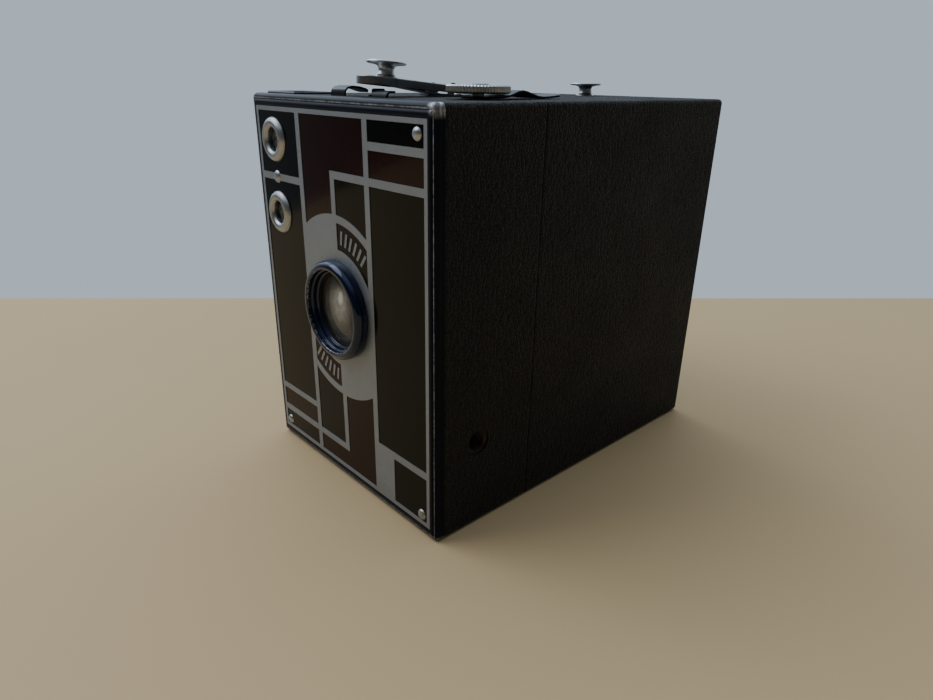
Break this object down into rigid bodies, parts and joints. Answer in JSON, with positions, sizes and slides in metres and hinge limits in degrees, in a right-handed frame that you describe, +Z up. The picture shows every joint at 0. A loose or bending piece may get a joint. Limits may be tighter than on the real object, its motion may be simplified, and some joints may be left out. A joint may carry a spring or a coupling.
{
  "type": "box camera",
  "caption": "Roll-film box camera with a decorated metal face, grained black covering, twin finders, rotary shutter, strap studs and a rear section that slides off.",
  "frame": {"origin": "centre of the bottom face", "axes": "+Z up, the decorated face and lens look along -Y, +X to the right seen from the front"},
  "size_m": [0.0892, 0.1199, 0.1156],
  "materials": {
    "leatherette": "fine-grained black covering",
    "black_metal": "dull black inside paint",
    "rim_enamel": "black enamel, worn edges",
    "nickel": "nickel plate, slightly dulled",
    "plate_metal": "satin nickelled brass plate",
    "enamel_black": "gloss black enamel",
    "enamel_maroon": "gloss dark red enamel",
    "bezel_enamel": "gloss blue-black enamel",
    "glass": "clear",
    "ground_glass": "ground",
    "mirror": "silvered",
    "brass": "dull",
    "steel": "spring steel",
    "dark_steel": "blued spring steel",
    "red_celluloid": "dark red translucent",
    "wood": "turned, dyed dark"
  },
  "bodies": {
    "front_section": {"front_case": "black_metal", "front_cover": "leatherette", "front_rim": "rim_enamel", "face_plate": "plate_metal", "enamel_black": "enamel_black", "enamel_maroon": "enamel_maroon", "face_rivets": "nickel", "lens_bezel": "bezel_enamel", "lens_barrel": "bezel_enamel", "front_lens_glass": "glass", "shutter_posts": "brass", "shutter_plate": "black_metal", "shutter_pivot": "brass", "lever_pivot": "brass", "lever_spring": "steel", "slide_guide": "black_metal", "shutter_rear_plate": "black_metal", "rear_lens_ring": "brass", "rear_lens_glass": "glass", "finder_eyelets": "nickel", "finder_lenses": "glass", "finder_housings": "black_metal", "finder_mirrors": "mirror", "finder_screens": "ground_glass", "finder_screen_frames": "nickel", "tripod_bushes": "brass", "catch_post": "dark_steel", "wheel_stem": "steel", "clamp_leaf": "dark_steel", "carrier_frame": "black_metal", "light_cone": "black_metal", "film_gate": "black_metal", "carrier_spacers": "black_metal", "roller_pins": "steel", "spool_pins": "steel", "key_bush": "nickel", "light_trap_sleeve": "black_metal"},
    "rear_section": {"rear_case": "black_metal", "rear_cover": "leatherette", "red_window": "red_celluloid", "red_window_rim": "nickel", "rear_strap_stud": "nickel", "catch_bracket": "nickel", "catch_pin": "steel", "bracket_rivets": "nickel", "catch_spring": "nickel"},
    "release_lever": {"release_lever": "nickel"},
    "shutter_disc": {"shutter_disc": "dark_steel"},
    "stop_slide": {"stop_slide": "dark_steel"},
    "time_slide": {"time_slide": "dark_steel"},
    "knurled_wheel": {"knurled_wheel": "nickel"},
    "key_collar": {"key_collar": "brass"},
    "winding_key": {"winding_key": "nickel"},
    "takeup_spool": {"takeup_spool": "wood"},
    "supply_spool": {"supply_spool": "wood"},
    "film_roller_top": {"film_roller_top": "nickel"},
    "film_roller_bottom": {"film_roller_bottom": "nickel"},
    "catch_lever": {"catch_lever": "nickel", "front_strap_stud": "nickel"}
  },
  "joints": [
    {"name": "rear_section_slide", "type": "slide", "parent": "front_section", "child": "rear_section", "axis": [0, 1, 0], "range_m": [0, 0.088]},
    {"name": "catch_lever_hinge", "type": "hinge", "parent": "rear_section", "child": "catch_lever", "pos_m": [0, -0.0218, 0.1089], "axis": [1, 0, 0], "range_deg": [-35, 2.4]},
    {"name": "release_lever_hinge", "type": "hinge", "parent": "front_section", "child": "release_lever", "pos_m": [-0.0235, -0.0536, 0.036], "axis": [0, 1, 0], "range_deg": [0, 16]},
    {"name": "shutter_disc_spin", "type": "hinge", "parent": "front_section", "child": "shutter_disc", "pos_m": [0, -0.0509, 0.0395], "axis": [0, 1, 0], "range_deg": [0, 100]},
    {"name": "stop_slide_lift", "type": "slide", "parent": "front_section", "child": "stop_slide", "axis": [0, 0, 1], "range_m": [0, 0.026]},
    {"name": "time_slide_lift", "type": "slide", "parent": "front_section", "child": "time_slide", "axis": [0, 0, 1], "range_m": [0, 0.008]},
    {"name": "knurled_wheel_spin", "type": "hinge", "parent": "front_section", "child": "knurled_wheel", "pos_m": [0.024, -0.0312, 0.1092], "axis": [0, 0, 1], "continuous": true},
    {"name": "key_pull", "type": "slide", "parent": "front_section", "child": "key_collar", "axis": [-1, 0, 0], "range_m": [0, 0.0024]},
    {"name": "winding_key_spin", "type": "hinge", "parent": "key_collar", "child": "winding_key", "pos_m": [-0.04, -0.0295, 0.092], "axis": [1, 0, 0], "continuous": true},
    {"name": "takeup_spool_spin", "type": "hinge", "parent": "front_section", "child": "takeup_spool", "pos_m": [0, -0.0295, 0.092], "axis": [1, 0, 0], "continuous": true},
    {"name": "supply_spool_spin", "type": "hinge", "parent": "front_section", "child": "supply_spool", "pos_m": [0, -0.0295, 0.015], "axis": [1, 0, 0], "continuous": true},
    {"name": "film_roller_top_spin", "type": "hinge", "parent": "front_section", "child": "film_roller_top", "pos_m": [0, 0.043, 0.0995], "axis": [1, 0, 0], "continuous": true},
    {"name": "film_roller_bottom_spin", "type": "hinge", "parent": "front_section", "child": "film_roller_bottom", "pos_m": [0, 0.043, 0.0075], "axis": [1, 0, 0], "continuous": true}
  ],
  "couplings": [
    {"joint": "shutter_disc_spin", "follows": "release_lever_hinge", "ratio": 6.25},
    {"joint": "winding_key_spin", "follows": "takeup_spool_spin", "ratio": 1}
  ]
}
